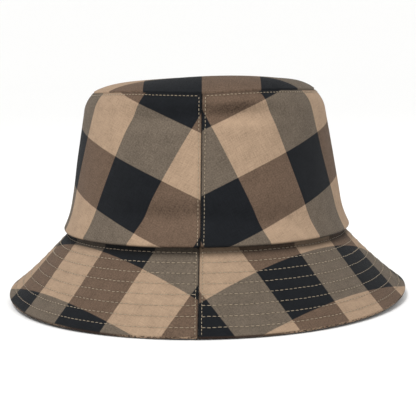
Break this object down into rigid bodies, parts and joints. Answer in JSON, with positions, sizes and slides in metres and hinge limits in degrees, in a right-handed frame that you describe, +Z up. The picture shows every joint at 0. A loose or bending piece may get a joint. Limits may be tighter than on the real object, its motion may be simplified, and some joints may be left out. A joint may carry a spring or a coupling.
{
  "type": "bucket hat",
  "caption": "Lined fabric bucket hat in a diagonal block check: flat-topped tapering crown, downward-sloping stitched brim, inner headband.",
  "frame": {"origin": "on the surface the hat stands on, under the centre of its brim", "axes": "+Z up through the crown top; front seam towards -Y, back seam towards +Y; the wearer's left towards +X"},
  "size_m": [0.2476, 0.2656, 0.1367],
  "materials": {
    "checked_twill": "matte cotton twill, woven in a large block check of tan, brown, olive and black",
    "interlining": "matte stiffened cotton",
    "brim_underside": "matte dark brown cotton twill",
    "lining": "soft plain-woven cotton with a slight sheen",
    "headband": "ribbed grosgrain ribbon",
    "label": "blank woven satin",
    "thread": "twisted polyester sewing thread, slightly shiny"
  },
  "bodies": {
    "root": {"crown_top": "checked_twill", "crown_side_left": "checked_twill", "crown_side_right": "checked_twill", "brim_top_left": "checked_twill", "brim_top_right": "checked_twill", "crown_top_interlining": "interlining", "crown_interlining_left": "interlining", "crown_interlining_right": "interlining", "brim_interlining_left": "interlining", "brim_interlining_right": "interlining", "brim_under_left": "brim_underside", "brim_under_right": "brim_underside", "lining_top": "lining", "lining_side_left": "lining", "lining_side_right": "lining", "headband": "headband", "maker_label": "label", "care_label": "label"}
  },
  "joints": []
}
